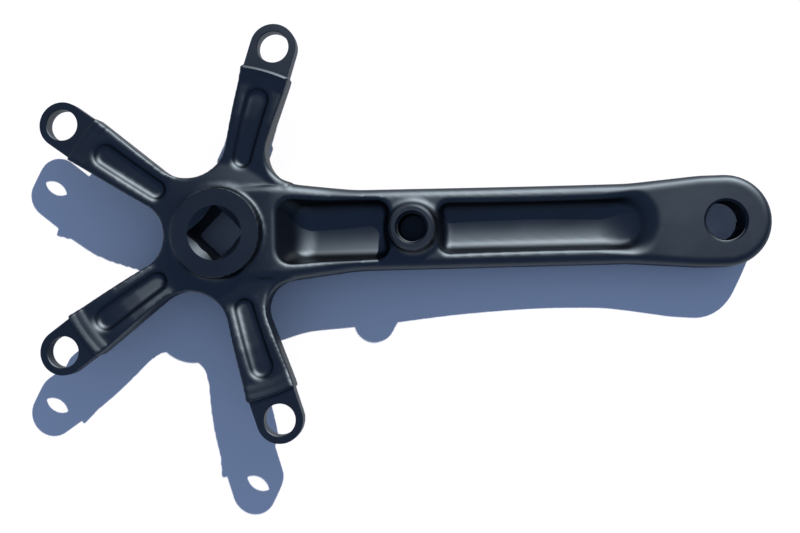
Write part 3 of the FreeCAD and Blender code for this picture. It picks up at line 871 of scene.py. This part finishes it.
@dataclass
class Thread:
    """A screw thread in a bore, one ridge wound up its wall.

    Attributes:
        name: Name of the piece.
        centre: Where its axis stands.
        root: Radius of the bore's wall.
        bottom: Level where the thread starts.
        pitch: Rise of each turn.
        turns: How many turns it has.
        height: How far the ridge stands out of the wall.
        steps: Points of the ridge in one turn.
        sides: Sides of its section.
    """

    name: str
    centre: Pair
    root: float
    bottom: float
    pitch: float
    turns: float
    height: float = 0.5
    steps: int = 56
    sides: int = 4

    def tree(self, material: bpy.types.Material) -> tuple[bpy.types.NodeTree, dict[str, str]]:
        """Nodes that wind the ridge, and the names of their inputs."""
        tree = bpy.data.node_groups.new(self.name, "GeometryNodeTree")
        sockets = {}
        for label in ("Turns", "Root", "Pitch", "Height"):
            sockets[label] = tree.interface.new_socket(label, in_out="INPUT",
                                                       socket_type="NodeSocketFloat").identifier
        tree.interface.new_socket("Geometry", in_out="OUTPUT", socket_type="NodeSocketGeometry")
        given, out, rise, spiral, section, upright, wound, real, dressed = map(tree.nodes.new, (
            "NodeGroupInput", "NodeGroupOutput", "ShaderNodeMath", "GeometryNodeCurveSpiral",
            "GeometryNodeCurvePrimitiveCircle", "GeometryNodeSetCurveNormal",
            "GeometryNodeCurveToMesh", "GeometryNodeRealizeInstances", "GeometryNodeSetMaterial"))
        rise.operation, upright.mode = "MULTIPLY", "Z_UP"
        spiral.inputs["Resolution"].default_value = self.steps
        section.inputs["Resolution"].default_value = self.sides
        wound.inputs["Fill Caps"].default_value = True
        dressed.inputs["Material"].default_value = material
        for source, output, target, entry in (
                (given, "Turns", rise, 0), (given, "Pitch", rise, 1),
                (given, "Turns", spiral, "Rotations"), (given, "Root", spiral, "Start Radius"),
                (given, "Root", spiral, "End Radius"), (rise, 0, spiral, "Height"),
                (given, "Height", section, "Radius"), (spiral, 0, upright, 0),
                (upright, 0, wound, "Curve"), (section, 0, wound, "Profile Curve"),
                (wound, 0, real, 0), (real, 0, dressed, 0), (dressed, 0, out, 0)):
            tree.links.new(source.outputs[output], target.inputs[entry])
        return tree, sockets

    def build(self, material: bpy.types.Material) -> Piece:
        """Wind the ridge and set it into its bore."""
        made = make_object(self.name, np.zeros((0, 3)), [])
        winding = made.modifiers.new("winding", "NODES")
        winding.node_group, sockets = self.tree(material)
        values = {"Turns": self.turns, "Root": self.root * MM, "Pitch": self.pitch * MM,
                  "Height": self.height * MM}
        for label, value in values.items():
            winding[sockets[label]] = value
        made.update_tag()
        evaluated = made.evaluated_get(bpy.context.evaluated_depsgraph_get())
        mesh = bpy.data.meshes.new_from_object(evaluated)
        made.modifiers.clear()
        mesh.transform(Matrix.Translation(Vector((*self.centre, self.bottom)) * MM))
        made.data = mesh
        return facing_out(made)


@dataclass
class CrankArm:
    """The finished crank arm in one piece.

    Attributes:
        pitch: Step of the grid on which the forging is worked out.
        bar, spider, hub, machining: What it is made of, and what is cut after forging.
        inner, outer: The channels beside the hub and beyond the boss.
    """

    pitch: float = 0.66
    bar: CrankBar = field(default_factory=CrankBar)
    spider: Spider = field(default_factory=Spider)
    hub: Hub = field(default_factory=Hub)
    machining: Machining = field(default_factory=Machining)
    inner: Channel = field(default_factory=lambda: Channel(
        start=17.8, end=57.5, half=10.3, mouth=(14.5, 14.5), floor=(6.5, 6.5), corner=(5.0, 4.5),
        draft=15.0, slope_end=26.8))
    outer: Channel = field(default_factory=lambda: Channel(
        start=73.2, end=147.0, half=9.0, mouth=(11.0, 4.4), floor=(4.2, -2.4), corner=(4.0, 8.9),
        run_out=135.0))

    def forge(self) -> Piece:
        """The forged blank as one closed mesh."""
        grid = Grid((-64.0, -72.0, -11.0), (189.0, 72.0, 26.0), self.pitch)
        rails = self.bar.top(grid)
        meeting = blended(grid.x, [(10, 0.4), (17, 0.15)], 1.5)
        solid = join(self.bar.distance(grid), self.spider.distance(grid, rails), meeting)
        solid = join(solid, self.hub.distance(grid), 0.3)
        soft = blended(grid.x, [(0, 0.9), (60, 1.0)], 1.5)
        solid = take(solid, self.inner.distance(grid), soft)
        mouth = blended(grid.x, [(130, 1.0), (142, 2.8)], 3.0)
        solid = take(solid, self.outer.distance(grid), mouth)
        solid = join(solid, self.hub.boss(grid), 2.4)
        vertices, quads = skin(solid, grid)
        vertices = evened(vertices, quads)
        LOG.info("forging: %d points, %d quads", len(vertices), len(quads))
        return make_object("crank_arm_forging", vertices, quads)

    def build(self) -> Piece:
        """Forge, machine and dress the arm."""
        body = self.forge()
        finishes = [
            BlackAnodised(Finish.FORGED.value),
            BlackAnodised(Finish.TURNED.value, grain=4200.0, grain_height=0.00002, wear=0.0),
            BlackAnodised(Finish.BROACHED.value, grain=3000.0, wear=0.0)]
        for finish in finishes:
            body.data.materials.append(finish.build())
        for tool, finish in self.machining.tools():
            for known in body.data.materials:
                tool.data.materials.append(known)
            cut_out(body, tool, list(Finish).index(finish))
            LOG.info("cut: %d faces", len(body.data.polygons))
        self.shade(body)
        return body

    def threads(self) -> list[Thread]:
        """The threads of the pedal eye, the fifth bolt's boss and the puller."""
        cuts = self.machining
        return [
            Thread("pedal_thread", (LENGTH, 0), cuts.pedal_root,
                   bottom=cuts.pedal_front + 0.9, pitch=1.27, turns=9.6),
            Thread("boss_thread", (BOSS_AT, 0), cuts.boss_root,
                   bottom=BOSS_TOP - cuts.boss_depth + 0.6, pitch=1.0, turns=11.0, height=0.42),
            Thread("puller_thread", (0, 0), cuts.puller_root,
                   bottom=0.9, pitch=1.0, turns=6.6, height=0.45)]

    @staticmethod
    def shade(body: Piece) -> None:
        """Smooth shading, with sharp edges round what is machined."""
        mesh = body.data
        mesh.shade_smooth()
        shell = bmesh.new()
        shell.from_mesh(mesh)
        for edge in shell.edges:
            if len(edge.link_faces) != 2:
                edge.smooth = False
                continue
            a, b = edge.link_faces
            cut = a.material_index != b.material_index
            turned = a.material_index and b.material_index
            bend = edge.calc_face_angle(0)
            sharp = (cut and bend > math.radians(12)) or (turned and bend > math.radians(30))
            edge.smooth = not sharp
        shell.to_mesh(mesh)
        shell.free()


@dataclass
class Studio:
    """The camera of the photograph, its sheet of paper and its light.

    Attributes:
        focal: Focal length in pixels of the picture.
        centre: Where the lens points, in pixels from the top left.
        turn: Turn of the camera about X, Y and Z, in radians, after it looks down.
        shift: Place of the chainring plane's centre before the camera, in millimetres.
        plane: Level of the chainring plane.
        paper_tilt: Tilt of the paper along X and Y, in degrees.
        paper_half: Half the width of the paper, in metres.
        sun_way, sun_spread: Which way the sunlight goes, and the sun's width in degrees.
        sun_strength, sun_colour: Strength and colour of the sun.
        sky_strength, sky_colour: Strength and colour of the sky.
    """

    focal: float = 951.22
    centre: Pair = (403.21, 228.03)
    turn: Triple = (-0.0592, 0.0689, -0.0306)
    shift: Triple = (-62.064, 1.669, 315.854)
    plane: float = 20.15
    paper_tilt: Pair = (3.19, -0.08)
    paper_half: float = 9.0
    sun_way: Triple = (-0.6422, -1.2857, -1.0)
    sun_strength: float = 5.0
    sun_spread: float = 0.6
    sun_colour: Triple = (1.0, 0.98, 0.95)
    sky_colour: Colour = (0.36, 0.53, 0.96, 1.0)
    sky_strength: float = 0.37

    def to_camera(self) -> Matrix:
        """Rows that turn the row's frame into right, down and forward."""
        turns = [Matrix.Rotation(angle, 3, axis) for angle, axis in zip(self.turn, "XYZ")]
        return (turns[2] @ turns[1] @ turns[0]) @ Matrix.Diagonal((1, -1, -1))

    def camera(self) -> Piece:
        """Set the camera up as the photograph's."""
        rows = self.to_camera()
        place = rows.transposed() @ -Vector(self.shift) + Vector((0, 0, self.plane))
        right, down, forward = (Vector(row) for row in rows)
        turned = Matrix((right, -down, -forward)).transposed().to_4x4()
        turned.translation = place * MM
        data = bpy.data.cameras.new("photo_camera")
        data.sensor_width = 36.0
        data.lens = self.focal / PICTURE[0] * data.sensor_width
        data.shift_x = (PICTURE[0] / 2 - self.centre[0]) / PICTURE[0]
        data.shift_y = -(PICTURE[1] / 2 - self.centre[1]) / PICTURE[0]
        data.clip_start, data.clip_end = 0.01, 20.0
        made = bpy.data.objects.new("photo_camera", data)
        made.matrix_world = turned
        bpy.context.scene.collection.objects.link(made)
        bpy.context.scene.camera = made
        return made

    def floor(self, body: Piece) -> Piece:
        """A sheet of paper, tilted as the arm rests on it, just under the arm."""
        about_y, about_x = (math.tan(math.radians(angle)) for angle in self.paper_tilt)
        normal = Vector((about_y, about_x, 1)).normalized()
        flat = np.empty(len(body.data.vertices) * 3)
        body.data.vertices.foreach_get("co", flat)
        lowest = float((flat.reshape(-1, 3) @ np.array(normal)).min())
        middle = Vector((0.06, 0.0, 0.0))
        middle += normal * (lowest - middle.dot(normal))
        across = Vector((1, 0, 0)).cross(normal).normalized()
        along = normal.cross(across)
        half = self.paper_half
        corners = [middle + along * a * half + across * b * half
                   for a, b in ((1, -1), (-1, -1), (-1, 1), (1, 1))]
        made = make_object("paper", np.array([c / MM for c in corners]), [[0, 1, 2, 3]])
        if made.data.polygons[0].normal.dot(normal) < 0:
            made.data.flip_normals()
        made.data.materials.append(self.paper())
        return made

    @staticmethod
    def paper() -> bpy.types.Material:
        """White paper that keeps the arm's shadow."""
        graph = Graph("paper_white")
        cloud = graph.noise(9.0, 2.0, 0.5)
        tone = graph.mix(cloud, (0.955, 0.93, 0.90, 1.0), (0.97, 0.945, 0.92, 1.0))
        return graph.finish(graph.node("ShaderNodeBsdfDiffuse", None, {"Color": tone}))

    def light(self) -> None:
        """One soft sun, and a pale bluish sky."""
        data = bpy.data.lights.new("window", "SUN")
        data.energy = self.sun_strength
        data.angle = math.radians(self.sun_spread)
        data.color = self.sun_colour
        sun = bpy.data.objects.new("window", data)
        sun.rotation_euler = Vector(self.sun_way).to_track_quat("-Z", "Y").to_euler()
        bpy.context.scene.collection.objects.link(sun)
        world = bpy.data.worlds.new("room")
        world.use_nodes = True
        nodes, links = world.node_tree.nodes, world.node_tree.links
        nodes.clear()
        sky = nodes.new("ShaderNodeBackground")
        sky.inputs["Color"].default_value = self.sky_colour
        sky.inputs["Strength"].default_value = self.sky_strength
        out = nodes.new("ShaderNodeOutputWorld")
        links.new(sky.outputs[0], out.inputs["Surface"])
        bpy.context.scene.world = world
        bpy.context.scene.view_settings.view_transform = "Standard"


def main() -> None:
    """Build the arm and its studio, and report each piece."""
    logging.basicConfig(level=logging.INFO, format="%(name)s: %(message)s")
    arm = CrankArm()
    body = arm.build()
    pieces = [body] + [thread.build(body.data.materials[1]) for thread in arm.threads()]
    for piece in pieces:
        LOG.info("%s: %d faces", piece.name, len(piece.data.polygons))
        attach(piece, "root")
    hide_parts("crank_arm")
    studio = Studio()
    studio.camera()
    floor = studio.floor(body)
    studio.light()


if __name__ == "__main__":
    main()
